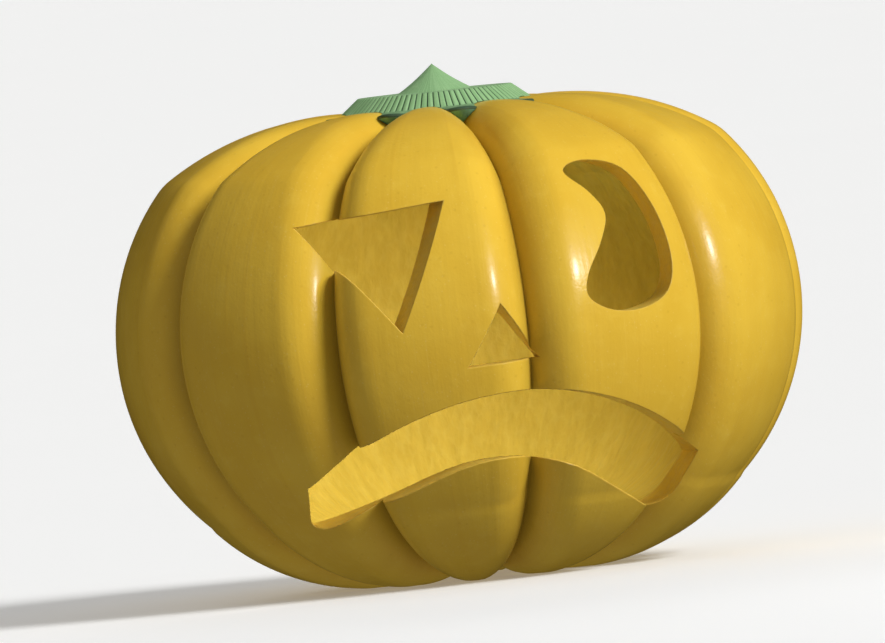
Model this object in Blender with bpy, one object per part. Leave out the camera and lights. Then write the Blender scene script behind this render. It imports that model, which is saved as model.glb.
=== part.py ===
"""Carved pumpkin lantern: a hollow ten-lobed pumpkin with a frowning face cut through its front wall,
and a green stem whose collar sits in the dip on top.

Metres, +Z up. The origin is under the middle of the pumpkin, on the plane that it rests on.
The face looks towards -Y.
"""
import math

import bmesh
import bpy
from mathutils import Vector

MM = 0.001

# The pumpkin's profile: three arcs, each as (radius of its centre from the axis, height of its centre, radius).
SIDE_ARC = (41.7 * MM, 110.7 * MM, 108.3 * MM)
TOP_ARC = (49.5 * MM, 79.2 * MM, 126.9 * MM)
BOTTOM_ARC = (45.1 * MM, 94.6 * MM, 95.1 * MM)
SHOULDER_RADIUS = 24 * MM
HIP_RADIUS = 52 * MM
POLE_RADIUS = 4 * MM
WALL = 21 * MM

# Lobes: wedges whose long edges are rounded down into the valleys between them.
LOBES = 10
LOBE_EDGE_RADIUS = 16.7 * MM
NARROW_LOBE_FILL = 0.95
ROUNDING_SHARPNESS = 8
VALLEY_ARC_END = math.radians(76)
VALLEY_FLOOR_AT = math.radians(84)

# Facets
PROFILE_ROWS = 24
EDGE_STEPS = 3
CREST_STEPS = 2
HOLLOW_ROWS = 14
HOLLOW_COLUMNS = 40
CORNER_STEP = math.radians(15)
SPLINE_STEPS = 3

# Face, seen from the front: x to the right, z up.
LEFT_EYE = ((-90.3, 161.2), (-56.2, 112.4), (-30.6, 166.6))
NOSE = ((-14.2, 120.4), (-30.3, 94.6), (2.8, 95.8))
RIGHT_EYE = (
    (34.5, 177.1), (24.2, 173.6), (33.3, 163.9), (38.8, 154.0), (34.9, 142.8), (26.2, 128.4), (25.4, 119.1),
    (35.2, 112.7), (49.5, 111.8), (62.2, 117.7), (66.3, 131.5), (62.4, 153.0), (51.5, 171.6),
)
# The mouth's corners are (x, z, rounding radius); its upper edge is one arc from the last corner to the first.
MOUTH_CORNERS = ((-94.0, 48.8, 0), (-89.7, 27.9, 7), (-8.1, 63.0, 70), (62.3, 19.4, 15), (77.8, 46.6, 0))
MOUTH_TOP_ARC_CENTRE = (-9.5, -41.6)
MOUTH_TOP_STEPS = 14
CUT_FROM_Y = -170 * MM
CUT_TO_Y = 0

# Stem
SPIRE_TIP_HEIGHT = 223.3 * MM
SPIRE_TIP_RADIUS = 0.5 * MM
SPIRE_FOOT_RADIUS = 16.3 * MM
SPIRE_HOLLOWING = 0.6 * MM
SPIRE_STEPS = 4
COLLAR_HEIGHT = 211.8 * MM
COLLAR_RADIUS = 33.6 * MM
BAND_FOOT = (41.7 * MM, 205.3 * MM)
WEB_RIM = (55.3 * MM, 205.0 * MM)
WEB_FOOT = (30.0 * MM, 187.0 * MM)
FLUTES = 90
FLUTE_DEPTH = 0.5 * MM
STEM_GAP = 0.3 * MM

SKIN_COLOUR = (0.62, 0.36, 0.045, 1)
STEM_COLOUR = (0.30, 0.50, 0.24, 1)


def clear_scene():
    for item in list(bpy.data.objects):
        bpy.data.objects.remove(item, do_unlink=True)


def material(name, colour, roughness):
    made = bpy.data.materials.new(name)
    made.use_nodes = True
    shader = made.node_tree.nodes["Principled BSDF"]
    shader.inputs["Base Color"].default_value = colour
    shader.inputs["Roughness"].default_value = roughness
    shader.inputs["Metallic"].default_value = 0.0
    return made


def on_arc(arc, angle):
    """The point of an arc at an angle, with the arc's outward normal there."""
    across, up = math.cos(angle), math.sin(angle)
    return arc[0] + arc[2] * across, arc[1] + arc[2] * up, across, up


def rounded_corner(below, above, radius):
    """The arc that rounds the outer meeting of two arcs, with the angles at which it leaves each of them."""
    x0, z0, r0 = below[0], below[1], below[2] - radius
    x1, z1, r1 = above[0], above[1], above[2] - radius
    apart = math.hypot(x1 - x0, z1 - z0)
    along = (r0 * r0 - r1 * r1 + apart * apart) / (2 * apart)
    aside = math.sqrt(r0 * r0 - along * along)
    to_x, to_z = (x1 - x0) / apart, (z1 - z0) / apart
    foot = (x0 + along * to_x, z0 + along * to_z)
    meetings = [(foot[0] - s * aside * to_z, foot[1] + s * aside * to_x) for s in (-1, 1)]
    x, z = max(meetings)
    return (x, z, radius), math.atan2(z - z0, x - x0), math.atan2(z - z1, x - x1)


def profile(rows, inset=0.0):
    """Points (radius, height, normal across, normal up) from the bottom of the pumpkin to its top."""
    side, top, bottom = SIDE_ARC, TOP_ARC, BOTTOM_ARC
    hip, hip_start, hip_end = rounded_corner(bottom, side, HIP_RADIUS)
    shoulder, shoulder_start, shoulder_end = rounded_corner(side, top, SHOULDER_RADIUS)
    start = -math.acos((POLE_RADIUS - bottom[0]) / bottom[2])
    end = math.acos((POLE_RADIUS - top[0]) / top[2])
    stretches = [
        (bottom, start, hip_start),
        (hip, hip_start, hip_end),
        (side, hip_end, shoulder_start),
        (shoulder, shoulder_start, shoulder_end),
        (top, shoulder_end, end),
    ]
    lengths = [arc[2] * (b - a) for arc, a, b in stretches]
    points = []
    for row in range(rows + 1):
        left = sum(lengths) * row / rows
        for (arc, a, b), length in zip(stretches, lengths):
            if left <= length or arc is top and b == end:
                radius, height, across, up = on_arc(arc, a + left / arc[2])
                points.append((radius - inset * across, height - inset * up, across, up))
                break
            left -= length
    return points


def lobe_section(point, half_angle, grown):
    """One lobe across its crest at a profile point, from its left edge to its right, in the lobe's own axes.

    A ball that touches the profile and the plane between two lobes rounds each edge."""
    radius, height, across, up = point
    narrow = NARROW_LOBE_FILL * math.sin(half_angle)
    widest_ball = narrow * radius / (1 + narrow * across)
    power = -ROUNDING_SHARPNESS
    ball = (LOBE_EDGE_RADIUS ** power + widest_ball ** power) ** (1 / power)
    ball_radius, ball_height = radius - ball * across, height - ball * up
    ball_angle = half_angle - math.asin(ball / ball_radius)
    centre = Vector((ball_radius * math.cos(ball_angle), ball_radius * math.sin(ball_angle), ball_height))
    outward = Vector((across * math.cos(ball_angle), across * math.sin(ball_angle), up))
    sideways = Vector((-math.sin(half_angle), math.cos(half_angle), 0))
    reach = ball + grown
    arc_end = VALLEY_ARC_END if not grown else math.asin(ball / reach)

    def on_ball(angle):
        return centre + reach * (math.cos(angle) * outward + math.sin(angle) * sideways)

    half = []
    for step in range(CREST_STEPS // 2 + 1):
        angle = ball_angle * 2 * step / CREST_STEPS
        crest = radius + grown * across
        half.append(Vector((crest * math.cos(angle), crest * math.sin(angle), height + grown * up)))
    last = EDGE_STEPS if not grown else EDGE_STEPS - 1
    for step in range(1, last + 1):
        half.append(on_ball(arc_end * step / EDGE_STEPS))
    floor = on_ball(VALLEY_FLOOR_AT if not grown else arc_end)
    floor_radius = math.hypot(floor.x, floor.y)
    half.append(Vector((floor_radius * math.cos(half_angle), floor_radius * math.sin(half_angle), floor.z)))
    mirrored = [Vector((p.x, -p.y, p.z)) for p in reversed(half[1:-1])]
    return mirrored + half


def lobed_rings(rows, grown=0.0):
    """Closed rings of points round the whole pumpkin, one for each profile point."""
    half_angle = math.pi / LOBES
    rings = []
    for point in profile(rows):
        section = lobe_section(point, half_angle, grown)
        ring = []
        for lobe in range(LOBES):
            turn = -math.pi / 2 + (2 * lobe + 1) * half_angle
            cos, sin = math.cos(turn), math.sin(turn)
            ring += [Vector((p.x * cos - p.y * sin, p.x * sin + p.y * cos, p.z)) for p in section]
        rings.append(ring)
    return rings


def round_ring(radius, height, columns, groove=0.0):
    """A ring of points; with a groove, every second point lies that much further in."""
    ring = []
    for column in range(columns):
        angle = 2 * math.pi * column / columns
        reach = radius - groove * (column % 2)
        ring.append(Vector((reach * math.cos(angle), reach * math.sin(angle), height)))
    return ring


def stitch(mesh, lower, upper):
    """Faces between two rings of vertices, either of which may have twice as many as the other."""
    steps = max(len(lower), len(upper))
    low_share, high_share = steps // len(lower), steps // len(upper)
    for step in range(steps):
        a, b = lower[step // low_share], lower[(step + 1) // low_share % len(lower)]
        c, d = upper[(step + 1) // high_share % len(upper)], upper[step // high_share]
        corners = [v for i, v in enumerate((a, b, c, d)) if v not in (a, b, c, d)[:i]]
        mesh.faces.new(corners)


def object_from_rings(name, rings, bottom, top):
    """A closed solid from rings that go up, closed by a fan to a point at either end."""
    mesh = bmesh.new()
    loops = [[mesh.verts.new(p) for p in ring] for ring in rings]
    for lower, upper in zip(loops, loops[1:]):
        stitch(mesh, lower, upper)
    for loop, end, flip in ((loops[0], bottom, True), (loops[-1], top, False)):
        pole = mesh.verts.new(end)
        for a, b in zip(loop, loop[1:] + loop[:1]):
            mesh.faces.new((b, a, pole) if flip else (a, b, pole))
    return object_from_bmesh(name, mesh)


def object_from_bmesh(name, mesh):
    bmesh.ops.recalc_face_normals(mesh, faces=mesh.faces)
    data = bpy.data.meshes.new(name)
    mesh.to_mesh(data)
    mesh.free()
    made = bpy.data.objects.new(name, data)
    bpy.context.collection.objects.link(made)
    return made


def cutter(made):
    made.hide_render = True
    made.display_type = "WIRE"
    return made


def cut(target, tool):
    step = target.modifiers.new("cut_" + tool.name, "BOOLEAN")
    step.operation = "DIFFERENCE"
    step.solver = "EXACT"
    step.object = cutter(tool)


def smooth_loop(points):
    """A smooth closed curve through the points."""
    curve = []
    count = len(points)
    for i in range(count):
        p0, p1, p2, p3 = (Vector(points[(i + k) % count]) for k in (-1, 0, 1, 2))
        for step in range(SPLINE_STEPS):
            t = step / SPLINE_STEPS
            curve.append(
                0.5 * (2 * p1 + (p2 - p0) * t + (2 * p0 - 5 * p1 + 4 * p2 - p3) * t * t
                       + (3 * p1 - p0 - 3 * p2 + p3) * t * t * t)
            )
    return curve


def rounded_polyline(corners):
    """The corners in order, with each inner one that has a radius drawn as an arc."""
    points = [Vector(corners[0][:2])]
    for before, corner, after in zip(corners, corners[1:], corners[2:]):
        here = Vector(corner[:2])
        back = (Vector(before[:2]) - here).normalized()
        on = (Vector(after[:2]) - here).normalized()
        half_open = back.angle(on) / 2
        centre = here + (back + on).normalized() * corner[2] / math.sin(half_open)
        start = here + back * corner[2] / math.tan(half_open) - centre
        end = here + on * corner[2] / math.tan(half_open) - centre
        turned = math.pi - 2 * half_open
        steps = max(2, round(turned / CORNER_STEP))
        way = 1 if start.x * end.y > start.y * end.x else -1
        for step in range(steps + 1):
            angle = way * turned * step / steps
            cos, sin = math.cos(angle), math.sin(angle)
            points.append(centre + Vector((start.x * cos - start.y * sin, start.x * sin + start.y * cos)))
    points.append(Vector(corners[-1][:2]))
    return points


def mouth_outline():
    """The rounded lower edge, then the arc of the upper edge back to its start."""
    points = rounded_polyline(MOUTH_CORNERS)
    centre = Vector(MOUTH_TOP_ARC_CENTRE)
    first, last = points[0] - centre, points[-1] - centre
    start, end = math.atan2(last.y, last.x), math.atan2(first.y, first.x)
    for step in range(1, MOUTH_TOP_STEPS):
        share = step / MOUTH_TOP_STEPS
        angle = start + (end - start) * share
        reach = last.length + (first.length - last.length) * share
        points.append(centre + reach * Vector((math.cos(angle), math.sin(angle))))
    return points


def face_cutter(name, outline):
    """A straight prism from in front of the pumpkin back into its hollow."""
    mesh = bmesh.new()
    front = [mesh.verts.new((p[0] * MM, CUT_FROM_Y, p[1] * MM)) for p in outline]
    back = [mesh.verts.new((p[0] * MM, CUT_TO_Y, p[1] * MM)) for p in outline]
    mesh.faces.new(front)
    mesh.faces.new(back)
    stitch(mesh, front, back)
    return object_from_bmesh(name, mesh)


def floor_slab():
    """What lies below the resting plane: it flattens the lowest spot of each lobe."""
    mesh = bmesh.new()
    bmesh.ops.create_cube(mesh, size=1.0)
    size = 2 * (SIDE_ARC[0] + SIDE_ARC[2])
    bmesh.ops.scale(mesh, vec=(size, size, size), verts=mesh.verts)
    bmesh.ops.translate(mesh, vec=(0, 0, -size / 2), verts=mesh.verts)
    return object_from_bmesh("floor_slab", mesh)


def hollow():
    """The scraped inside: the profile set in by the wall, turned round the axis."""
    rings = [round_ring(r, z, HOLLOW_COLUMNS) for r, z, _, _ in profile(HOLLOW_ROWS, inset=WALL)]
    bottom, top = rings[0][0].z, rings[-1][0].z
    return object_from_rings("hollow", rings, (0, 0, bottom), (0, 0, top))


def build_shell():
    rings = lobed_rings(PROFILE_ROWS)
    bottom = min(p.z for p in rings[0])
    top = max(p.z for p in rings[-1])
    shell = object_from_rings("pumpkin_shell", rings, (0, 0, bottom), (0, 0, top))
    shell.data.materials.append(material("pumpkin_skin", SKIN_COLOUR, 0.42))
    cut(shell, hollow())
    cut(shell, face_cutter("left_eye", LEFT_EYE))
    cut(shell, face_cutter("right_eye", smooth_loop(RIGHT_EYE)))
    cut(shell, face_cutter("nose", NOSE))
    cut(shell, face_cutter("mouth", mouth_outline()))
    cut(shell, floor_slab())
    return shell


def build_stem():
    """Spire, collar and fluted band, over a web that fills the tops of the valleys between the lobes."""
    foot_columns = FLUTES
    rings = [round_ring(*WEB_FOOT, foot_columns), round_ring(*WEB_RIM, foot_columns)]
    rings.append(round_ring(*BAND_FOOT, 2 * FLUTES, FLUTE_DEPTH))
    rings.append(round_ring(COLLAR_RADIUS, COLLAR_HEIGHT, 2 * FLUTES, FLUTE_DEPTH))
    for step in range(SPIRE_STEPS + 1):
        share = step / SPIRE_STEPS
        radius = SPIRE_FOOT_RADIUS + (SPIRE_TIP_RADIUS - SPIRE_FOOT_RADIUS) * share
        height = COLLAR_HEIGHT + (SPIRE_TIP_HEIGHT - COLLAR_HEIGHT) * share
        height -= SPIRE_HOLLOWING * math.sin(math.pi * share)
        rings.append(round_ring(radius, height, FLUTES // 2))
    tip = (0, 0, SPIRE_TIP_HEIGHT + SPIRE_TIP_RADIUS)
    stem = object_from_rings("stem", rings, (0, 0, WEB_FOOT[1]), tip)
    stem.data.materials.append(material("stem_green", STEM_COLOUR, 0.55))
    grown = lobed_rings(PROFILE_ROWS, STEM_GAP)
    bottom = min(p.z for p in grown[0])
    top = max(p.z for p in grown[-1])
    cut(stem, object_from_rings("stem_seat", grown, (0, 0, bottom), (0, 0, top)))
    return stem


def shade(part):
    part.data.shade_smooth()
    part.data.set_sharp_from_angle(angle=math.radians(40))


clear_scene()
for built in (build_shell(), build_stem()):
    shade(built)
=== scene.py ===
"""Carved pumpkin lantern, standing on a pale floor: a waxy golden rind in ten lobes, thick cut walls round
the eyes, nose and mouth, a scraped hollow, and a fresh green stem with a fluted collar.

The row frame: metres, +Z up, the origin under the middle of the pumpkin on its resting plane, the face
towards -Y.
"""

import math

import bmesh
import bpy
import numpy as np
from mathutils import Matrix, Vector, noise
from mathutils.bvhtree import BVHTree


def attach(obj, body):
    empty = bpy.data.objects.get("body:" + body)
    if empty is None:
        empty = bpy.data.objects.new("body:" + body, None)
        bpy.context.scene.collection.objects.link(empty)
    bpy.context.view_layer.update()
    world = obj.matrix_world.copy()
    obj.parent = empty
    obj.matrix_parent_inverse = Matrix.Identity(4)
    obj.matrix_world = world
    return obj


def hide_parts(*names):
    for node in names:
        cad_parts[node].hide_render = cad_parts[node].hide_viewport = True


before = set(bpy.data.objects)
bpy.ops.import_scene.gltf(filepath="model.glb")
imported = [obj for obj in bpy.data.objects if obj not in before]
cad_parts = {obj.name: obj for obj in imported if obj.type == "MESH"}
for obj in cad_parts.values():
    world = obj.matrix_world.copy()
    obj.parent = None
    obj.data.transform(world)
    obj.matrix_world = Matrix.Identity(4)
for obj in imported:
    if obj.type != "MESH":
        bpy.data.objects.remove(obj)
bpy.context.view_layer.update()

MM = 0.001
WELD = 0.0001 * MM

# The pumpkin's profile: three arcs, each as its centre's distance from the axis and height, and its radius.
SIDE_ARC = (41.7 * MM, 110.7 * MM, 108.3 * MM)
TOP_ARC = (49.5 * MM, 79.2 * MM, 126.9 * MM)
BOTTOM_ARC = (45.1 * MM, 94.6 * MM, 95.1 * MM)
SHOULDER_RADIUS = 24 * MM
HIP_RADIUS = 52 * MM
POLE_RADIUS = 4 * MM
WALL = 21 * MM

LOBES = 10
HALF_LOBE = math.pi / LOBES
LOBE_EDGE_RADIUS = 16.7 * MM
NARROW_LOBE_FILL = 0.95
ROUNDING_SHARPNESS = 8
VALLEY_ARC_END = math.radians(80)
VALLEY_FLOOR_AT = math.radians(84)
SEAT_ARC_SHARE = 0.97

# The skin's fine shape: slow swellings in space, and shallow furrows that run from pole to pole.
SKIN_ROWS = 150
CREST_COLUMNS = 8
EDGE_COLUMNS = 7
SKIN_INSET = 0.09 * MM
SKIN_RELIEF = 0.30 * MM
SWELLING_SHARE = 0.55
SWELLING_SCALE = 22.0
FURROW_SHARE = 0.45
FURROW_SCALE = (9, 9, 12)

# The hollow's fine shape: strands that run up the wall, and the scoops of a spoon.
HOLLOW_ROWS = 90
HOLLOW_COLUMNS = 200
HOLLOW_RELIEF = 0.9 * MM
STRAND_SHARE = 0.6
STRANDS_ROUND = 11
STRANDS_UP = 9
SCOOP_SHARE = 0.5
SCOOP_SCALE = 38.0
SMOOTH_POLE_RADIUS = 30 * MM

# A smooth facing agrees at least this much with its face's own; edges that turn more degrees stay sharp.
SAME_SIDE = 0.8
CUT_CREASE = 50
STEM_CREASE = 40

# The face, seen from the front: x to the right, z up, in mm.
LEFT_EYE = ((-90.3, 161.2), (-56.2, 112.4), (-30.6, 166.6))
NOSE = ((-14.2, 120.4), (-30.3, 94.6), (2.8, 95.8))
RIGHT_EYE = (
    (34.5, 177.1), (24.2, 173.6), (33.3, 163.9), (38.8, 154.0), (34.9, 142.8), (26.2, 128.4), (25.4, 119.1),
    (35.2, 112.7), (49.5, 111.8), (62.2, 117.7), (66.3, 131.5), (62.4, 153.0), (51.5, 171.6),
)
# The mouth's corners are x, z and rounding radius; its upper edge is one arc from the last to the first.
MOUTH_CORNERS = ((-94.0, 48.8, 0), (-89.7, 27.9, 7), (-8.1, 63.0, 70), (62.3, 19.4, 15), (77.8, 46.6, 0))
MOUTH_TOP_ARC_CENTRE = (-9.5, -41.6)
MOUTH_TOP_STEPS = 60
CORNER_STEP = math.radians(6)
SPLINE_STEPS = 8
OUTLINE_STEP = 2.5
SHARPEST_MITRE = 0.45

# The knives that cut them, in mm: from outside the rind through the wall into the hollow.
RAY_FROM_Y = -300
CUT_FROM_Y = -170.0
CUT_TO_Y = -1.0
INNERMOST_Y = -6.0
THINNEST_WALL = 4.0
KNIFE_FLARE = 0.6
RIM_SINK = 0.05
CUT_ROUNDING = 0.6
CUT_BACK_ROUNDING = 0.6
RIM_STEPS = 4
WALL_STEPS = 8
BACK_STEPS = 3
KNIFE_WAVE = 0.16
WAVE_ACROSS = 0.16
WAVE_ALONG = 0.07

# The stem, from its tip down to its foot, which is sunk in the dip between the lobes.
SPIRE_TIP_HEIGHT = 223.3 * MM
SPIRE_TIP_RADIUS = 0.5 * MM
SPIRE_FOOT_RADIUS = 16.3 * MM
SPIRE_HOLLOWING = 0.6 * MM
COLLAR_HEIGHT = 211.8 * MM
COLLAR_RADIUS = 33.6 * MM
BAND_FOOT = (41.7 * MM, 205.3 * MM)
WEB_RIM = (55.3 * MM, 205.0 * MM)
WEB_FOOT = (30.0 * MM, 187.0 * MM)
RIM_ROUNDING = 0.9 * MM
WEB_RIM_STEPS = 5
WEB_TOP_STEPS = 4
BAND_STEPS = 8
COLLAR_STEPS = 4
SPIRE_STEPS = 14
WEB_TAPER = 0.5
WEB_DROOP = 1.3 * MM
WEB_MIDDLE_DROOP = 0.25
TONGUE_HALF_WIDTH = 0.54
TONGUE_VARIETY = 0.12
TONGUE_SCALE = 45.0
FLUTES = 90
FLUTE_DEPTH = 0.9 * MM
FLUTE_COLUMNS = 8
FLUTE_BREADTH = 0.32
STEM_GAP = 0.1 * MM
SEAT_ROWS = 60

# How much shade is painted into the stem's colour on its underside: 1 below the web's rim, 0 on the collar.
SHADED_BELOW = 1.0
SHADED_RIM = 0.7
SHADED_TOP = 0.28

# The pumpkin's materials, in order.
RIND, INSIDE, FLESH = range(3)

# The camera looks level but for a slight tilt down, turned to the pumpkin's right and rolled a little.
CAMERA_TURN = math.radians(12.58)
CAMERA_TILT = math.radians(1.5)
CAMERA_ROLL = math.radians(6.1)
LENS = 1000.0
SENSOR = 36.0
FRAME_WIDTH = 0.3848
AIM_RIGHT = -7.13 * MM
AIM_HEIGHT = 111.7 * MM

# Lights: the far ones in degrees to the right of -Y and above the floor, the others where they stand.
KEY_FROM = (41.0, 34.0)
KEY_STRENGTH = 2.86
KEY_SOFTNESS = math.radians(22)
BACK_FROM = (167.4, 12.0)
BACK_STRENGTH = 0.9
BACK_SOFTNESS = math.radians(40)
GLINT_AT = (129 * MM, -368 * MM, 223 * MM)
GLINT_POWER = 2.1
HOLLOW_LIGHT_AT = (54 * MM, -50 * MM, 146 * MM)
HOLLOW_LIGHT_POWER = 0.21
HOLLOW_LIGHT_SIZE = 80 * MM
HOLLOW_LIGHT_SPREAD = math.radians(110)
HOLLOW_FILL_AT = (45 * MM, 25 * MM, 160 * MM)
HOLLOW_FILL_POWER = 0.055
HOLLOW_FILL_COLOUR = (0.45, 0.80, 1.0)
BULB_RADIUS = 20 * MM
SKY_STRENGTH = 0.295
FLOOR_GLOW = 0.16
FLOOR_REACH = 60

# Colours of the rind, the cut flesh, the scraped inside, the stem and the floor.
RIND_GOLD = (0.79, 0.488, 0.040, 1)
RIND_YELLOW = (0.85, 0.545, 0.051, 1)
RIND_MOTTLE = (0.88, 0.595, 0.075, 1)
RIND_STREAK = (0.74, 0.42, 0.030, 1)
RIND_SCRATCH = (0.90, 0.66, 0.15, 1)
RIND_FRECKLE = (0.60, 0.33, 0.020, 1)
RIND_SPECK = (0.93, 0.70, 0.20, 1)
# Painted shade for the deep valleys between the lobes.
VALLEY_PAINTED_SHADE = (0.45, 0.33, 0.035, 1)
FLESH_GOLD = (0.66, 0.450, 0.066, 1)
FLESH_YELLOW = (0.75, 0.530, 0.090, 1)
FLESH_CELL = (0.84, 0.66, 0.16, 1)
UNDER_RIND = (0.72, 0.45, 0.050, 1)
INSIDE_GOLD = (0.45, 0.312, 0.038, 1)
INSIDE_YELLOW = (0.51, 0.356, 0.047, 1)
INSIDE_STRING = (0.57, 0.42, 0.08, 1)
STEM_GREEN = (0.26, 0.47, 0.21, 1)
STEM_PALE = (0.33, 0.56, 0.27, 1)
STEM_FUZZ = (0.42, 0.62, 0.31, 1)
# Painted shade on the stem: dark green on the web's rim and top, a bluish green under it.
WEB_RIM_PAINTED_SHADE = (0.057, 0.104, 0.058, 1)
WEB_UNDERSIDE_PAINTED_SHADE = (0.16, 0.41, 0.33, 1)
# Painted shade for the bottoms of the collar's flutes.
GROOVE_PAINTED_SHADE = (0.014, 0.036, 0.026, 1)
FLOOR_GREY = (0.90, 0.90, 0.89, 1)
FLOOR_WHITE = (0.92, 0.92, 0.91, 1)


# Meshes

def mesh_object(name, points, faces):
    data = bpy.data.meshes.new(name)
    data.from_pydata([tuple(p) for p in points], [], [tuple(f) for f in faces])
    data.validate()
    made = bpy.data.objects.new(name, data)
    bpy.context.scene.collection.objects.link(made)
    return made


def evaluated(made):
    """The object's mesh with its modifiers worked in, and the modifiers gone."""
    bpy.context.view_layer.update()
    graph = bpy.context.evaluated_depsgraph_get()
    data = bpy.data.meshes.new_from_object(made.evaluated_get(graph), preserve_all_data_layers=True,
                                           depsgraph=graph)
    data.name = made.name
    made.modifiers.clear()
    made.data = data
    return made


def positions(data):
    co = np.empty(len(data.vertices) * 3, np.float32)
    data.vertices.foreach_get("co", co)
    return co.reshape(-1, 3).astype(float)


def set_positions(data, points):
    data.vertices.foreach_set("co", np.asarray(points, np.float32).ravel())
    data.update()


def normals(data):
    out = np.empty(len(data.vertices) * 3, np.float32)
    data.vertex_normals.foreach_get("vector", out)
    return out.reshape(-1, 3).astype(float)


def point_value(data, name, values):
    layer = data.attributes.new(name, "FLOAT", "POINT")
    layer.data.foreach_set("value", np.asarray(values, np.float32))


def corner_value(data, name, values):
    """A value for each point, kept at the corners of its faces, where a later cut carries it along."""
    layer = data.attributes.new(name, "FLOAT", "CORNER")
    layer.data.foreach_set("value", [values[loop.vertex_index] for loop in data.loops])


def point_vector(data, name, values):
    layer = data.attributes.new(name, "FLOAT_VECTOR", "POINT")
    layer.data.foreach_set("vector", np.asarray(values, np.float32).ravel())


def triangulated(points, faces):
    return [(f[0], f[k], f[k + 1]) for f in faces for k in range(1, len(f) - 1)]


class PlainSurface:
    """A closed surface before it is cut, which still says how each spot on it faces."""

    def __init__(self, points, faces):
        self.points = [Vector(p) for p in points]
        self.triangles = triangulated(points, faces)
        self.tree = BVHTree.FromPolygons(self.points, self.triangles)
        co, corners = np.array(points, float), np.array(self.triangles)
        flat = np.cross(co[corners[:, 1]] - co[corners[:, 0]], co[corners[:, 2]] - co[corners[:, 0]])
        total = np.zeros_like(co)
        for k in range(3):
            np.add.at(total, corners[:, k], flat)
        self.facing = total / np.maximum(np.linalg.norm(total, axis=1), 1e-20)[:, None]

    def depth(self, point):
        return self.tree.find_nearest(point)[3]

    def normal(self, point, face_normal):
        """The smooth way out at the spot nearest to a point, kept to the face's own side of a crease."""
        spot, _, index, _ = self.tree.find_nearest(point)
        corners = self.triangles[index]
        a, b, c = (self.points[i] for i in corners)
        whole = (b - a).cross(c - a)
        area = max(whole.length_squared, 1e-30)
        shares = ((b - spot).cross(c - spot).dot(whole) / area, (c - spot).cross(a - spot).dot(whole) / area)
        facing = (self.facing[corners[0]] * shares[0] + self.facing[corners[1]] * shares[1]
                  + self.facing[corners[2]] * (1 - shares[0] - shares[1]))
        facing = Vector(facing).normalized()
        return facing if facing.dot(face_normal) > SAME_SIDE else face_normal


def turned_copies(sector, copies, name, material):
    """The sector repeated round the axis, welded into one closed surface of one material."""
    tree = bpy.data.node_groups.new(name, "GeometryNodeTree")
    tree.is_modifier = True
    tree.interface.new_socket("Sector", in_out="INPUT", socket_type="NodeSocketGeometry")
    count = tree.interface.new_socket("Copies", in_out="INPUT", socket_type="NodeSocketInt")
    weld = tree.interface.new_socket("Weld distance", in_out="INPUT", socket_type="NodeSocketFloat")
    finish = tree.interface.new_socket("Material", in_out="INPUT", socket_type="NodeSocketMaterial")
    tree.interface.new_socket("Surface", in_out="OUTPUT", socket_type="NodeSocketGeometry")
    add, link = tree.nodes.new, tree.links.new
    start, end = add("NodeGroupInput"), add("NodeGroupOutput")
    line = add("GeometryNodeMeshLine")
    line.inputs["Offset"].default_value = (0, 0, 0)
    index, share, angle = add("GeometryNodeInputIndex"), add("ShaderNodeMath"), add("ShaderNodeMath")
    share.operation, angle.operation = "DIVIDE", "MULTIPLY"
    angle.inputs[1].default_value = 2 * math.pi
    turn = add("ShaderNodeCombineXYZ")
    place, solid = add("GeometryNodeInstanceOnPoints"), add("GeometryNodeRealizeInstances")
    welded, finished = add("GeometryNodeMergeByDistance"), add("GeometryNodeSetMaterial")
    link(start.outputs["Copies"], line.inputs["Count"])
    link(index.outputs[0], share.inputs[0])
    link(start.outputs["Copies"], share.inputs[1])
    link(share.outputs[0], angle.inputs[0])
    link(angle.outputs[0], turn.inputs["Z"])
    link(line.outputs["Mesh"], place.inputs["Points"])
    link(start.outputs["Sector"], place.inputs["Instance"])
    link(turn.outputs["Vector"], place.inputs["Rotation"])
    link(place.outputs["Instances"], solid.inputs["Geometry"])
    link(solid.outputs["Geometry"], welded.inputs["Geometry"])
    link(start.outputs["Weld distance"], welded.inputs["Distance"])
    link(welded.outputs["Geometry"], finished.inputs["Geometry"])
    link(start.outputs["Material"], finished.inputs["Material"])
    link(finished.outputs["Geometry"], end.inputs["Surface"])
    sector.data.materials.append(material)
    step = sector.modifiers.new(name, "NODES")
    step.node_group = tree
    step[count.identifier] = copies
    step[weld.identifier] = WELD
    step[finish.identifier] = material
    return evaluated(sector)


# The pumpkin's own shape

def rounded_corner(below, above, radius):
    """The arc that rounds the outer meeting of two arcs, with the angles at which it leaves each of them."""
    x0, z0, r0 = below[0], below[1], below[2] - radius
    x1, z1, r1 = above[0], above[1], above[2] - radius
    apart = math.hypot(x1 - x0, z1 - z0)
    along = (r0 * r0 - r1 * r1 + apart * apart) / (2 * apart)
    aside = math.sqrt(r0 * r0 - along * along)
    to_x, to_z = (x1 - x0) / apart, (z1 - z0) / apart
    x, z = max((x0 + along * to_x - s * aside * to_z, z0 + along * to_z + s * aside * to_x) for s in (-1, 1))
    return (x, z, radius), math.atan2(z - z0, x - x0), math.atan2(z - z1, x - x1)


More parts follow.
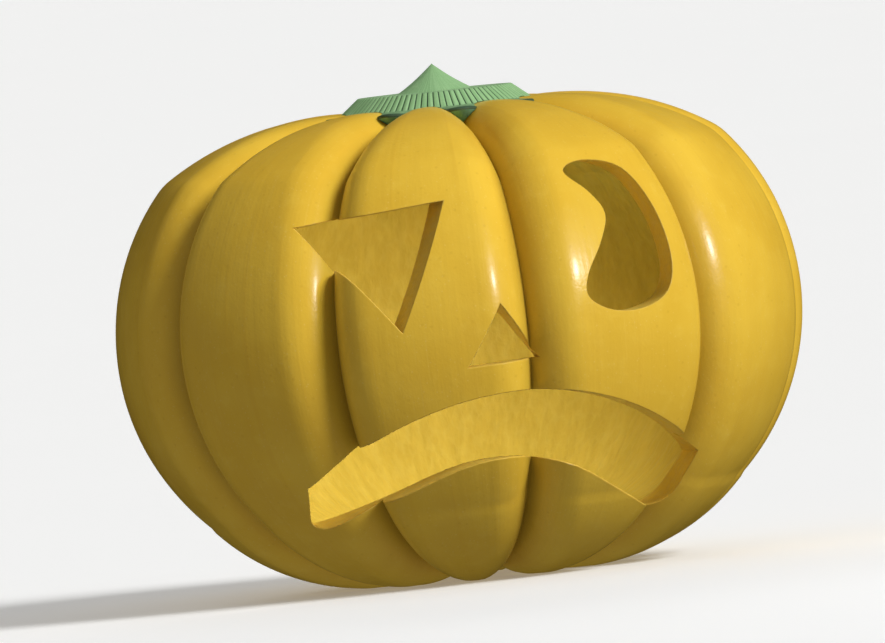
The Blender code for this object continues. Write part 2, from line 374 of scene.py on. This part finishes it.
def profile(rows, inset=0.0):
    """From the pumpkin's bottom to its top: radius, height, normal across, normal up, length so far."""
    side, top, bottom = SIDE_ARC, TOP_ARC, BOTTOM_ARC
    hip, hip_start, hip_end = rounded_corner(bottom, side, HIP_RADIUS)
    shoulder, shoulder_start, shoulder_end = rounded_corner(side, top, SHOULDER_RADIUS)
    stretches = [
        (bottom, -math.acos((POLE_RADIUS - bottom[0]) / bottom[2]), hip_start),
        (hip, hip_start, hip_end),
        (side, hip_end, shoulder_start),
        (shoulder, shoulder_start, shoulder_end),
        (top, shoulder_end, math.acos((POLE_RADIUS - top[0]) / top[2])),
    ]
    lengths = [arc[2] * (b - a) for arc, a, b in stretches]
    ends = np.cumsum(lengths)
    points = []
    for row in range(rows + 1):
        run = ends[-1] * row / rows
        part = min(int(np.searchsorted(ends, run)), len(stretches) - 1)
        arc, a, _ = stretches[part]
        angle = a + (run - ends[part] + lengths[part]) / arc[2]
        across, up = math.cos(angle), math.sin(angle)
        points.append((arc[0] + (arc[2] - inset) * across, arc[1] + (arc[2] - inset) * up, across, up, run))
    return points


def lobe_section(point, grown):
    """One lobe across its crest, from its left edge to its right, with the crest along +X.

    A ball that touches the profile and the plane between two lobes rounds each edge."""
    radius, height, across, up, _ = point
    narrow = NARROW_LOBE_FILL * math.sin(HALF_LOBE)
    widest_ball = narrow * radius / (1 + narrow * across)
    power = ROUNDING_SHARPNESS
    ball = (LOBE_EDGE_RADIUS ** -power + widest_ball ** -power) ** (-1 / power)
    ball_radius, ball_height = radius - ball * across, height - ball * up
    ball_angle = HALF_LOBE - math.asin(ball / ball_radius)
    reach = ball + grown

    def on_ball(angle):
        out, aside = reach * math.cos(angle), reach * math.sin(angle)
        ahead = ball_radius + out * across
        return (ahead * math.cos(ball_angle) - aside * math.sin(HALF_LOBE),
                ahead * math.sin(ball_angle) + aside * math.cos(HALF_LOBE),
                ball_height + out * up)

    half = []
    for step in range(CREST_COLUMNS + 1):
        angle = ball_angle * step / CREST_COLUMNS
        crest = radius + grown * across
        half.append((crest * math.cos(angle), crest * math.sin(angle), height + grown * up))
    last = VALLEY_ARC_END if not grown else math.asin(ball / reach) * SEAT_ARC_SHARE
    half += [on_ball(last * step / EDGE_COLUMNS) for step in range(1, EDGE_COLUMNS + 1)]
    floor = on_ball(VALLEY_FLOOR_AT if not grown else math.asin(ball / reach))
    floor_radius = math.hypot(floor[0], floor[1])
    half.append((floor_radius * math.cos(HALF_LOBE), floor_radius * math.sin(HALF_LOBE), floor[2]))
    return [(x, -y, z) for x, y, z in reversed(half[1:])] + half


def lobed_surface(name, rows, material, grown=0.0):
    """One lobe from pole to pole, its crest half a lobe away from -Y, repeated round the axis."""
    turn = -math.pi / 2 + HALF_LOBE
    cos, sin = math.cos(turn), math.sin(turn)
    points = []
    for place in profile(rows):
        points += [(x * cos - y * sin, x * sin + y * cos, z) for x, y, z in lobe_section(place, grown)]
    across = len(points) // (rows + 1)
    faces = []
    for row in range(rows):
        for column in range(across - 1):
            a = row * across + column
            faces.append((a, a + 1, a + 1 + across, a + across))
    bottom, top = len(points), len(points) + 1
    points.append((0, 0, min(p[2] for p in points[:across])))
    points.append((0, 0, max(p[2] for p in points[rows * across:-1])))
    for column in range(across - 1):
        faces.append((column + 1, column, bottom))
        faces.append((rows * across + column, rows * across + column + 1, top))
    return turned_copies(mesh_object(name, points, faces), LOBES, "repeat_lobes", material)


def smooth_noise(point, scale):
    return noise.noise(Vector(point) * scale)


def meridian_space(points):
    """Coordinates in which stripes that run from pole to pole are straight: round the axis, and height."""
    radius = np.maximum(np.hypot(points[:, 0], points[:, 1]), 1e-6)
    return np.stack([points[:, 0] / radius, points[:, 1] / radius, points[:, 2]], axis=1)


def relieve_skin(data):
    """A grown skin: slow swellings and shallow stretch furrows, all below the plain lobes."""
    points, out = positions(data), normals(data)
    round_axis = meridian_space(points)
    depth = np.array([
        SWELLING_SHARE * smooth_noise(p, SWELLING_SCALE) + FURROW_SHARE * smooth_noise(m * FURROW_SCALE, 1.0)
        for p, m in zip(points, round_axis)
    ])
    points = points - out * (SKIN_INSET + SKIN_RELIEF * np.clip(0.5 + depth, 0, 1))[:, None]
    points[:, 2] = np.maximum(points[:, 2], 0.0)
    set_positions(data, points)


def scraped_hollow():
    """The inside, as a surface that faces the hollow, with the ridges that a spoon leaves."""
    rows = profile(HOLLOW_ROWS, WALL)
    points, faces = [], []
    for radius, height, across, up, run in rows:
        for column in range(HOLLOW_COLUMNS):
            angle = 2 * math.pi * column / HOLLOW_COLUMNS
            cos, sin = math.cos(angle), math.sin(angle)
            strands = smooth_noise((cos * STRANDS_ROUND, sin * STRANDS_ROUND, run * STRANDS_UP), 1.0)
            scoops = smooth_noise((cos * radius, sin * radius, height), SCOOP_SCALE)
            push = HOLLOW_RELIEF * (STRAND_SHARE * strands + SCOOP_SHARE * scoops)
            push *= min(1.0, radius / SMOOTH_POLE_RADIUS)
            reach = radius + push * across
            points.append((reach * cos, reach * sin, height + push * up))
    for row in range(HOLLOW_ROWS):
        for column in range(HOLLOW_COLUMNS):
            a = row * HOLLOW_COLUMNS + column
            b = row * HOLLOW_COLUMNS + (column + 1) % HOLLOW_COLUMNS
            faces.append((b, a, a + HOLLOW_COLUMNS, b + HOLLOW_COLUMNS))
    bottom, top = len(points), len(points) + 1
    last = HOLLOW_ROWS * HOLLOW_COLUMNS
    points.append((0, 0, float(np.mean([p[2] for p in points[:HOLLOW_COLUMNS]]))))
    points.append((0, 0, float(np.mean([p[2] for p in points[last:-1]]))))
    for column in range(HOLLOW_COLUMNS):
        on = (column + 1) % HOLLOW_COLUMNS
        faces.append((column, on, bottom))
        faces.append((last + on, last + column, top))
    return points, faces


# Outlines of the face

def smooth_loop(corners):
    """A smooth closed curve through the corners."""
    curve, count = [], len(corners)
    for i in range(count):
        p0, p1, p2, p3 = (np.array(corners[(i + k) % count]) for k in (-1, 0, 1, 2))
        for step in range(SPLINE_STEPS):
            t = step / SPLINE_STEPS
            curve.append(0.5 * (2 * p1 + (p2 - p0) * t + (2 * p0 - 5 * p1 + 4 * p2 - p3) * t * t
                                + (3 * p1 - p0 - 3 * p2 + p3) * t ** 3))
    return curve


def rounded_polyline(corners):
    """The corners in order, with each inner one that has a radius drawn as an arc."""
    points = [Vector(corners[0][:2])]
    for before, corner, after in zip(corners, corners[1:], corners[2:]):
        here = Vector(corner[:2])
        back = (Vector(before[:2]) - here).normalized()
        on = (Vector(after[:2]) - here).normalized()
        half_open = back.angle(on) / 2
        centre = here + (back + on).normalized() * corner[2] / math.sin(half_open)
        start = here + back * corner[2] / math.tan(half_open) - centre
        end = here + on * corner[2] / math.tan(half_open) - centre
        turned = math.pi - 2 * half_open
        steps = max(2, round(turned / CORNER_STEP))
        way = 1 if start.x * end.y > start.y * end.x else -1
        for step in range(steps + 1):
            angle = way * turned * step / steps
            cos, sin = math.cos(angle), math.sin(angle)
            points.append(centre + Vector((start.x * cos - start.y * sin, start.x * sin + start.y * cos)))
    points.append(Vector(corners[-1][:2]))
    return points


def mouth_outline():
    points = rounded_polyline(MOUTH_CORNERS)
    centre = Vector(MOUTH_TOP_ARC_CENTRE)
    first, last = points[0] - centre, points[-1] - centre
    start, end = math.atan2(last.y, last.x), math.atan2(first.y, first.x)
    for step in range(1, MOUTH_TOP_STEPS):
        share = step / MOUTH_TOP_STEPS
        angle = start + (end - start) * share
        reach = last.length + (first.length - last.length) * share
        points.append(centre + reach * Vector((math.cos(angle), math.sin(angle))))
    return points


def evenly_spaced(outline):
    """The same closed outline, anticlockwise, with no step longer than OUTLINE_STEP."""
    corners = [np.array(tuple(p), float) for p in outline]
    area = sum(a[0] * b[1] - a[1] * b[0] for a, b in zip(corners, corners[1:] + corners[:1]))
    if area < 0:
        corners.reverse()
    points = []
    for a, b in zip(corners, corners[1:] + corners[:1]):
        steps = max(1, math.ceil(np.linalg.norm(b - a) / OUTLINE_STEP))
        points += [a + (b - a) * step / steps for step in range(steps)]
    return np.array(points)


def outward(outline):
    """For each point of an anticlockwise outline, the way out that keeps both its sides parallel."""
    back = outline - np.roll(outline, 1, axis=0)
    on = np.roll(outline, -1, axis=0) - outline
    back /= np.linalg.norm(back, axis=1)[:, None]
    on /= np.linalg.norm(on, axis=1)[:, None]
    first = np.stack([back[:, 1], -back[:, 0]], axis=1)
    second = np.stack([on[:, 1], -on[:, 0]], axis=1)
    both = first + second
    both /= np.linalg.norm(both, axis=1)[:, None]
    return both / np.maximum((both * first).sum(axis=1), SHARPEST_MITRE)[:, None]


def hit_y(tree, at, start, way):
    """Where a line along Y meets a surface, in mm, or None."""
    found = tree.ray_cast(Vector((at[0] * MM, start * MM, at[1] * MM)), Vector((0, way, 0)))
    return None if found[0] is None else found[0].y / MM


def rounds_at_cuts(data, surfaces):
    """Skin and hollow keep the smooth facing that they had before they were cut."""
    facing = [tuple(n.vector) for n in data.corner_normals]
    edge_points = set()
    for face in data.polygons:
        if face.material_index == FLESH:
            edge_points.update(face.vertices)
    for face in data.polygons:
        surface = surfaces.get(face.material_index)
        if surface is None or edge_points.isdisjoint(face.vertices):
            continue
        for loop, vertex in zip(face.loop_indices, face.vertices):
            facing[loop] = tuple(surface.normal(data.vertices[vertex].co, face.normal))
    data.normals_split_custom_set(facing)


def knife(name, outline, skin_tree, hollow_tree):
    """The body that a knife takes out: it follows the outline and rounds the edges at skin and hollow."""
    outline = evenly_spaced(outline)
    out = outward(outline)
    strands = []
    for at, way in zip(outline, out):
        wide, back = at + way * CUT_ROUNDING, at + way * CUT_BACK_ROUNDING
        skin_here, skin_wide = hit_y(skin_tree, at, RAY_FROM_Y, 1), hit_y(skin_tree, wide, RAY_FROM_Y, 1)
        inner = hit_y(hollow_tree, at, CUT_TO_Y, -1)
        inner = INNERMOST_Y if inner is None else min(inner, INNERMOST_Y)
        top = skin_wide - RIM_SINK
        rim = max(skin_here, skin_wide) + CUT_ROUNDING
        inner = max(inner, rim + THINNEST_WALL)
        strand = [(wide + way * KNIFE_FLARE, CUT_FROM_Y)]
        for step in range(RIM_STEPS + 1):
            t = math.pi / 2 * step / RIM_STEPS
            strand.append((at + way * CUT_ROUNDING * (1 - math.sin(t)),
                           top + (rim - top) * (1 - math.cos(t))))
        for step in range(1, WALL_STEPS):
            deep = rim + (inner - CUT_BACK_ROUNDING - rim) * step / WALL_STEPS
            place = (at[0] * WAVE_ACROSS, deep * WAVE_ALONG, at[1] * WAVE_ACROSS)
            strand.append((at + way * (KNIFE_WAVE * smooth_noise(place, 1.0)), deep))
        for step in range(BACK_STEPS + 1):
            t = math.pi / 2 * step / BACK_STEPS
            strand.append((at + way * CUT_BACK_ROUNDING * (1 - math.cos(t)),
                           inner - CUT_BACK_ROUNDING * (1 - math.sin(t))))
        strand.append((back, CUT_TO_Y))
        strands.append(strand)
    rings, count = len(strands[0]), len(strands)
    points = [(p[0] * MM, y * MM, p[1] * MM) for ring in range(rings) for p, y in (s[ring] for s in strands)]
    faces = []
    for ring in range(rings - 1):
        for i in range(count):
            a, b = ring * count + i, ring * count + (i + 1) % count
            faces.append((a, b, b + count, a + count))
    faces.append(tuple(reversed(range(count))))
    faces.append(tuple(range((rings - 1) * count, rings * count)))
    made = mesh_object(name, points, faces)
    face_outward(made.data)
    return made


def face_outward(data):
    shape = bmesh.new()
    shape.from_mesh(data)
    bmesh.ops.recalc_face_normals(shape, faces=shape.faces)
    shape.to_mesh(data)
    shape.free()


def cut(target, tool):
    step = target.modifiers.new("cut_" + tool.name, "BOOLEAN")
    step.operation = "DIFFERENCE"
    step.solver = "EXACT"
    step.object = tool


def shade(data, angle):
    data.shade_smooth()
    data.set_sharp_from_angle(angle=math.radians(angle))


# Node materials

class Nodes:
    """A material's node tree, with its nodes made in one line each."""

    def __init__(self, name):
        self.material = bpy.data.materials.new(name)
        self.material.use_nodes = True
        self.tree = self.material.node_tree
        self.shader = self.tree.nodes["Principled BSDF"]

    def add(self, kind, settings=None, **inputs):
        made = self.tree.nodes.new(kind)
        for key, value in (settings or {}).items():
            setattr(made, key, value)
        for key, value in inputs.items():
            self.give(made.inputs[key.replace("_", " ")], value)
        return made

    def give(self, socket, value):
        if isinstance(value, bpy.types.NodeSocket):
            self.tree.links.new(value, socket)
        else:
            socket.default_value = value

    def object_space(self):
        return self.add("ShaderNodeTexCoord").outputs["Object"]

    def attribute(self, name, output="Fac"):
        return self.add("ShaderNodeAttribute", {"attribute_name": name}).outputs[output]

    def stretched(self, vector, scale):
        return self.add("ShaderNodeMapping", Vector=vector, Scale=scale).outputs[0]

    def noise(self, vector, scale, detail=3.0, roughness=0.5):
        return self.add("ShaderNodeTexNoise", Vector=vector, Scale=scale, Detail=detail,
                        Roughness=roughness).outputs["Fac"]

    def spots(self, vector, scale):
        return self.add("ShaderNodeTexVoronoi", Vector=vector, Scale=scale).outputs["Distance"]

    def warped(self, vector, scale, reach):
        """The same coordinates, each pushed aside by up to half the reach."""
        push = self.add("ShaderNodeTexNoise", Vector=vector, Scale=scale, Detail=1.0).outputs["Color"]
        made = self.add("ShaderNodeVectorMath", {"operation": "MULTIPLY_ADD"})
        self.give(made.inputs[0], push)
        made.inputs[1].default_value = (reach,) * 3
        self.give(made.inputs[2], vector)
        return made.outputs["Vector"]

    def span(self, value, low, high, to_low=0.0, to_high=1.0):
        return self.add("ShaderNodeMapRange", {"interpolation_type": "SMOOTHSTEP"}, Value=value, From_Min=low,
                        From_Max=high, To_Min=to_low, To_Max=to_high).outputs["Result"]

    def mix(self, share, a, b):
        made = self.add("ShaderNodeMix", {"data_type": "RGBA"})
        for socket, value in ((0, share), (6, a), (7, b)):
            self.give(made.inputs[socket], value)
        return made.outputs[2]

    def bump(self, height, distance, strength=1.0, under=None):
        made = self.add("ShaderNodeBump", Height=height, Distance=distance, Strength=strength)
        if under is not None:
            self.give(made.inputs["Normal"], under)
        return made.outputs["Normal"]

    def surface(self, **inputs):
        for key, value in inputs.items():
            self.give(self.shader.inputs[key.replace("_", " ")], value)
        return self.material


def rind_material():
    n = Nodes("waxy_rind")
    space, meridian, valley = n.object_space(), n.attribute("meridian", "Vector"), n.attribute("valley")
    patches = n.noise(space, 24.0, 3.0)
    mottle = n.noise(space, 130.0, 4.0, 0.6)
    streaks = n.noise(n.stretched(meridian, (34, 34, 9)), 1.0, 4.0)
    scratches = n.noise(n.stretched(meridian, (150, 150, 14)), 1.0, 3.0, 0.6)
    specks = n.spots(n.warped(space, 60.0, 0.004), 400.0)
    freckles = n.spots(n.warped(space, 40.0, 0.006), 165.0)
    colour = n.mix(n.span(patches, 0.35, 0.68), RIND_GOLD, RIND_YELLOW)
    colour = n.mix(n.span(mottle, 0.50, 0.75, 0.0, 0.30), colour, RIND_MOTTLE)
    colour = n.mix(n.span(streaks, 0.54, 0.76, 0.0, 0.22), colour, RIND_STREAK)
    colour = n.mix(n.span(scratches, 0.62, 0.74, 0.0, 0.16), colour, RIND_SCRATCH)
    colour = n.mix(n.span(freckles, 0.05, 0.16, 0.22, 0.0), colour, RIND_FRECKLE)
    colour = n.mix(n.span(specks, 0.08, 0.18, 0.26, 0.0), colour, RIND_SPECK)
    # Painted shade: the rind darkens to olive towards the floor of each valley.
    colour = n.mix(n.span(valley, 0.80, 1.0, 0.0, 0.55), colour, VALLEY_PAINTED_SHADE)
    relief = n.bump(n.noise(space, 760.0, 2.0), 0.00010, 0.6)
    relief = n.bump(streaks, 0.0006, 0.30, relief)
    relief = n.bump(mottle, 0.0004, 0.35, relief)
    gloss = n.span(n.noise(space, 60.0, 2.0), 0.3, 0.7, 0.28, 0.38)
    return n.surface(Base_Color=colour, Roughness=gloss, Normal=relief, Specular_IOR_Level=0.25,
                     Coat_Weight=0.16, Coat_Roughness=0.16)


def flesh_material():
    n = Nodes("cut_flesh")
    space, depth = n.object_space(), n.attribute("below_skin")
    grain = n.noise(n.stretched(space, (1, 0.45, 1)), 300.0, 4.0)
    cells = n.spots(n.warped(space, 220.0, 0.0012), 520.0)
    colour = n.mix(n.span(grain, 0.35, 0.7), FLESH_GOLD, FLESH_YELLOW)
    colour = n.mix(n.span(cells, 0.30, 0.62, 0.0, 0.18), colour, FLESH_CELL)
    colour = n.mix(n.span(depth, 0.0008, 0.0024, 0.60, 0.0), colour, UNDER_RIND)
    marks = n.noise(n.stretched(space, (1, 0.10, 1)), 260.0, 2.0)
    relief = n.bump(marks, 0.0005, 0.6)
    relief = n.bump(grain, 0.0003, 0.5, relief)
    relief = n.bump(cells, 0.0002, 0.4, relief)
    gloss = n.span(grain, 0.3, 0.7, 0.34, 0.48)
    return n.surface(Base_Color=colour, Roughness=gloss, Normal=relief, Specular_IOR_Level=0.35)


def inside_material():
    n = Nodes("scraped_inside")
    space, meridian = n.object_space(), n.attribute("meridian", "Vector")
    strands = n.noise(n.warped(n.stretched(meridian, (22, 22, 70)), 0.6, 0.9), 1.0, 5.0, 0.62)
    web = n.spots(n.warped(n.stretched(meridian, (40, 40, 190)), 1.1, 0.8), 1.0)
    colour = n.mix(n.span(strands, 0.35, 0.68), INSIDE_GOLD, INSIDE_YELLOW)
    colour = n.mix(n.span(web, 0.45, 0.80, 0.0, 0.20), colour, INSIDE_STRING)
    relief = n.bump(strands, 0.0012, 0.45)
    relief = n.bump(web, 0.0010, 0.25, relief)
    relief = n.bump(n.noise(space, 320.0, 3.0), 0.0004, 0.5, relief)
    gloss = n.span(strands, 0.3, 0.7, 0.40, 0.56)
    return n.surface(Base_Color=colour, Roughness=gloss, Normal=relief, Specular_IOR_Level=0.35)


def stem_material():
    n = Nodes("green_stem")
    space, meridian = n.object_space(), n.attribute("meridian", "Vector")
    streaks = n.noise(n.stretched(meridian, (30, 30, 60)), 1.0, 4.0)
    fuzz = n.noise(space, 260.0, 4.0, 0.6)
    colour = n.mix(n.span(streaks, 0.35, 0.68), STEM_GREEN, STEM_PALE)
    colour = n.mix(n.span(fuzz, 0.52, 0.75, 0.0, 0.30), colour, STEM_FUZZ)
    # Painted shade: dark green on the web's rim and top, a bluish green on its underside.
    under = n.attribute("under")
    colour = n.mix(n.span(under, 0.0, SHADED_RIM), colour, WEB_RIM_PAINTED_SHADE)
    colour = n.mix(n.span(under, 0.75, SHADED_BELOW), colour, WEB_UNDERSIDE_PAINTED_SHADE)
    # Painted shade: the flutes' grooves darken to near black.
    colour = n.mix(n.span(n.attribute("groove"), 0.12, 0.95), colour, GROOVE_PAINTED_SHADE)
    relief = n.bump(streaks, 0.0005, 0.6)
    relief = n.bump(fuzz, 0.0003, 0.4, relief)
    relief = n.bump(n.noise(space, 900.0, 2.0), 0.00015, 0.5, relief)
    gloss = n.span(streaks, 0.3, 0.7, 0.44, 0.60)
    return n.surface(Base_Color=colour, Roughness=gloss, Normal=relief, Specular_IOR_Level=0.3)


def floor_material():
    n = Nodes("pale_floor")
    cloud = n.noise(n.object_space(), 3.0, 2.0)
    colour = n.mix(cloud, FLOOR_GREY, FLOOR_WHITE)
    return n.surface(Base_Color=colour, Roughness=0.85, Emission_Color=(1, 1, 1, 1),
                     Emission_Strength=FLOOR_GLOW)


# Pieces

def valley_share(points):
    """0 on a lobe's crest, 1 in the valley beside it."""
    angle = np.arctan2(points[:, 0], -points[:, 1])
    along = np.mod(angle, 2 * HALF_LOBE) / HALF_LOBE - 1
    return np.abs(along)


def build_pumpkin():
    rind = rind_material()
    skin = lobed_surface("pumpkin_skin", SKIN_ROWS, rind)
    relieve_skin(skin.data)
    inner_points, inner_faces = scraped_hollow()
    outer_points = [tuple(p) for p in positions(skin.data)]
    outer_faces = [tuple(p.vertices) for p in skin.data.polygons]
    skin_surface = PlainSurface(outer_points, outer_faces)
    hollow_surface = PlainSurface(inner_points, inner_faces)
    shift = len(outer_points)
    pumpkin = mesh_object("pumpkin", outer_points + inner_points,
                          outer_faces + [tuple(i + shift for i in f) for f in inner_faces])
    bpy.data.objects.remove(skin)
    data = pumpkin.data
    for material in (rind, inside_material(), flesh_material()):
        data.materials.append(material)
    data.polygons.foreach_set("material_index", [RIND] * len(outer_faces) + [INSIDE] * len(inner_faces))
    outlines = {"left_eye": LEFT_EYE, "right_eye": smooth_loop(RIGHT_EYE), "nose": NOSE,
                "mouth": mouth_outline()}
    knives = [knife(name, outline, skin_surface.tree, hollow_surface.tree)
              for name, outline in outlines.items()]
    for tool in knives:
        for material in data.materials:
            tool.data.materials.append(material)
        tool.data.polygons.foreach_set("material_index", [FLESH] * len(tool.data.polygons))
        cut(pumpkin, tool)
    evaluated(pumpkin)
    for tool in knives:
        bpy.data.objects.remove(tool)
    data = pumpkin.data
    points = positions(data)
    point_value(data, "below_skin", [skin_surface.depth(Vector(p)) for p in points])
    # The valley share also sets the shade painted into the rind's valleys.
    point_value(data, "valley", valley_share(points))
    point_vector(data, "meridian", meridian_space(points))
    shade(data, CUT_CREASE)
    rounds_at_cuts(data, {RIND: skin_surface, INSIDE: hollow_surface})
    return pumpkin


def stem_outline():
    """Stations of the stem from its foot in the dip to its tip: radius, height, groove, painted underside
    shade.
    """
    stations = [WEB_FOOT + (0.0, SHADED_BELOW)]
    across, up = WEB_RIM[0] - RIM_ROUNDING, WEB_RIM[1] - RIM_ROUNDING
    for step in range(WEB_RIM_STEPS + 1):
        share = step / WEB_RIM_STEPS
        angle = math.pi / 2 * (1.5 * share - 0.5)
        stations.append((across + RIM_ROUNDING * math.cos(angle), up + RIM_ROUNDING * math.sin(angle),
                         0.0, SHADED_RIM if step else SHADED_BELOW))
    for step in range(1, WEB_TOP_STEPS + 1):
        share = step / WEB_TOP_STEPS
        stations.append((across + (BAND_FOOT[0] - across) * share,
                         WEB_RIM[1] + (BAND_FOOT[1] - WEB_RIM[1]) * share, 0.0, SHADED_TOP))
    for step in range(BAND_STEPS + 1):
        share = step / BAND_STEPS
        stations.append((BAND_FOOT[0] + (COLLAR_RADIUS - BAND_FOOT[0]) * share,
                         BAND_FOOT[1] + (COLLAR_HEIGHT - BAND_FOOT[1]) * share, 1.0, 0.0))
    for step in range(1, COLLAR_STEPS + 1):
        share = step / COLLAR_STEPS
        stations.append((COLLAR_RADIUS + (SPIRE_FOOT_RADIUS - COLLAR_RADIUS) * share, COLLAR_HEIGHT,
                         1.0 - share, 0.0))
    for step in range(1, SPIRE_STEPS + 1):
        share = step / SPIRE_STEPS
        height = COLLAR_HEIGHT + (SPIRE_TIP_HEIGHT - COLLAR_HEIGHT) * share
        stations.append((SPIRE_FOOT_RADIUS + (SPIRE_TIP_RADIUS - SPIRE_FOOT_RADIUS) * share,
                         height - SPIRE_HOLLOWING * math.sin(math.pi * share), 0.0, 0.0))
    return stations


def taper_web(data):
    """The web reaches farthest down the middle of each valley: ten rounded tongues, no two quite alike."""
    points = positions(data)
    radius = np.hypot(points[:, 0], points[:, 1])
    beyond = np.maximum(radius - BAND_FOOT[0], 0.0)
    aside = np.clip((1 - valley_share(points)) / TONGUE_HALF_WIDTH, 0, 1)
    unlike = np.array([TONGUE_VARIETY * smooth_noise(p, TONGUE_SCALE) for p in points])
    shorter = beyond * (WEB_TAPER * aside ** 2 + np.maximum(unlike, 0.0))
    points[:, :2] *= (1 - shorter / np.maximum(radius, MM))[:, None]
    points[:, 2] -= WEB_DROOP * beyond / (WEB_RIM[0] - BAND_FOOT[0]) * (WEB_MIDDLE_DROOP + aside ** 2)
    set_positions(data, points)


def build_stem():
    stations = stem_outline()
    points, faces, groove, under = [], [], [], []
    wide = FLUTE_COLUMNS + 1
    for radius, height, fluted, painted_shade in stations:
        for column in range(wide):
            share = column / FLUTE_COLUMNS
            angle = 2 * math.pi / FLUTES * share
            ridge = abs(math.sin(math.pi * share)) ** FLUTE_BREADTH
            dip = FLUTE_DEPTH * fluted * (1 - ridge)
            points.append(((radius - dip) * math.cos(angle), (radius - dip) * math.sin(angle), height))
            groove.append(fluted * (1 - ridge))
            under.append(painted_shade)
    for row in range(len(stations) - 1):
        for column in range(FLUTE_COLUMNS):
            a = row * wide + column
            faces.append((a, a + 1, a + 1 + wide, a + wide))
    foot, tip = len(points), len(points) + 1
    points += [(0, 0, WEB_FOOT[1]), (0, 0, SPIRE_TIP_HEIGHT + SPIRE_TIP_RADIUS)]
    groove += [0.0, 0.0]
    under += [1.0, 0.0]
    last = (len(stations) - 1) * wide
    for column in range(FLUTE_COLUMNS):
        faces.append((column + 1, column, foot))
        faces.append((last + column, last + column + 1, tip))
    sector = mesh_object("fluted_stem", points, faces)
    corner_value(sector.data, "groove", groove)
    # The underside values set how much shade is painted into the stem's colour.
    corner_value(sector.data, "under", under)
    green = stem_material()
    stem = turned_copies(sector, FLUTES, "repeat_flutes", green)
    taper_web(stem.data)
    face_outward(stem.data)
    seat = lobed_surface("stem_seat", SEAT_ROWS, green, STEM_GAP)
    face_outward(seat.data)
    cut(stem, seat)
    evaluated(stem)
    bpy.data.objects.remove(seat)
    point_vector(stem.data, "meridian", meridian_space(positions(stem.data)))
    shade(stem.data, STEM_CREASE)
    return stem


# Stage

def build_stage():
    corners = [(x * FLOOR_REACH, y * FLOOR_REACH, 0) for x, y in ((-1, -1), (1, -1), (1, 1), (-1, 1))]
    floor = mesh_object("floor", corners, [(0, 1, 2, 3)])
    floor.data.materials.append(floor_material())
    floor.visible_diffuse = False
    floor.visible_glossy = False
    world = bpy.data.worlds.new("soft_sky")
    world.use_nodes = True
    sky = world.node_tree.nodes["Background"]
    sky.inputs["Color"].default_value = (1, 1, 1, 1)
    sky.inputs["Strength"].default_value = SKY_STRENGTH
    bpy.context.scene.world = world
    world.cycles_visibility.glossy = False


def add_light(name, kind, energy, direction_from, **settings):
    lamp = bpy.data.lights.new(name, kind)
    lamp.energy = energy
    for key, value in settings.items():
        setattr(lamp, key, value)
    made = bpy.data.objects.new(name, lamp)
    bpy.context.scene.collection.objects.link(made)
    made.matrix_world = Vector(direction_from).normalized().to_track_quat("Z", "Y").to_matrix().to_4x4()
    return made


def from_angles(angles):
    """The way to a light that stands so many degrees right of -Y and so many above the floor."""
    turn, rise = (math.radians(angle) for angle in angles)
    return Vector((math.sin(turn) * math.cos(rise), -math.cos(turn) * math.cos(rise), math.sin(rise)))


def build_lights():
    """The far lights shade the pumpkin, the glint only shows in its gloss, and two lamps light its hollow."""
    key = add_light("key", "SUN", KEY_STRENGTH, from_angles(KEY_FROM), angle=KEY_SOFTNESS)
    back = add_light("back", "SUN", BACK_STRENGTH, from_angles(BACK_FROM), angle=BACK_SOFTNESS)
    for lamp in (key, back):
        lamp.visible_glossy = False
    glint = add_light("glint", "POINT", GLINT_POWER, (0, 0, 1), shadow_soft_size=BULB_RADIUS)
    glint.location = GLINT_AT
    glint.visible_camera = False
    glint.visible_diffuse = False
    inner = add_light("hollow_light", "AREA", HOLLOW_LIGHT_POWER, from_angles(KEY_FROM), shape="DISK",
                      size=HOLLOW_LIGHT_SIZE, spread=HOLLOW_LIGHT_SPREAD)
    inner.location = HOLLOW_LIGHT_AT
    fill = add_light("hollow_fill", "POINT", HOLLOW_FILL_POWER, (0, 0, 1), shadow_soft_size=BULB_RADIUS,
                     color=HOLLOW_FILL_COLOUR)
    fill.location = HOLLOW_FILL_AT
    for lamp in (inner, fill):
        lamp.visible_camera = False
        lamp.visible_glossy = False


def build_camera():
    right = Vector((math.cos(CAMERA_TURN), -math.sin(CAMERA_TURN), 0))
    towards = Vector((
        -math.sin(CAMERA_TURN) * math.cos(CAMERA_TILT),
        -math.cos(CAMERA_TURN) * math.cos(CAMERA_TILT),
        math.sin(CAMERA_TILT),
    ))
    up = towards.cross(right)
    side = math.cos(CAMERA_ROLL) * right - math.sin(CAMERA_ROLL) * up
    head = math.sin(CAMERA_ROLL) * right + math.cos(CAMERA_ROLL) * up
    lens = bpy.data.cameras.new("photo_camera")
    lens.lens = LENS
    lens.sensor_width = SENSOR
    lens.clip_end = 200
    made = bpy.data.objects.new("photo_camera", lens)
    bpy.context.scene.collection.objects.link(made)
    turn = Matrix((side, head, towards)).transposed().to_4x4()
    aim = right * AIM_RIGHT + Vector((0, 0, AIM_HEIGHT))
    made.matrix_world = Matrix.Translation(aim + towards * (FRAME_WIDTH * LENS / SENSOR)) @ turn
    bpy.context.scene.camera = made


pumpkin = build_pumpkin()
stem = build_stem()
for piece, node, slot in ((pumpkin, "pumpkin_shell", "skin"), (stem, "stem", "stem_green")):
    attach(piece, "root")
    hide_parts(node)
build_stage()
build_lights()
build_camera()
bpy.context.scene.view_settings.view_transform = "Standard"
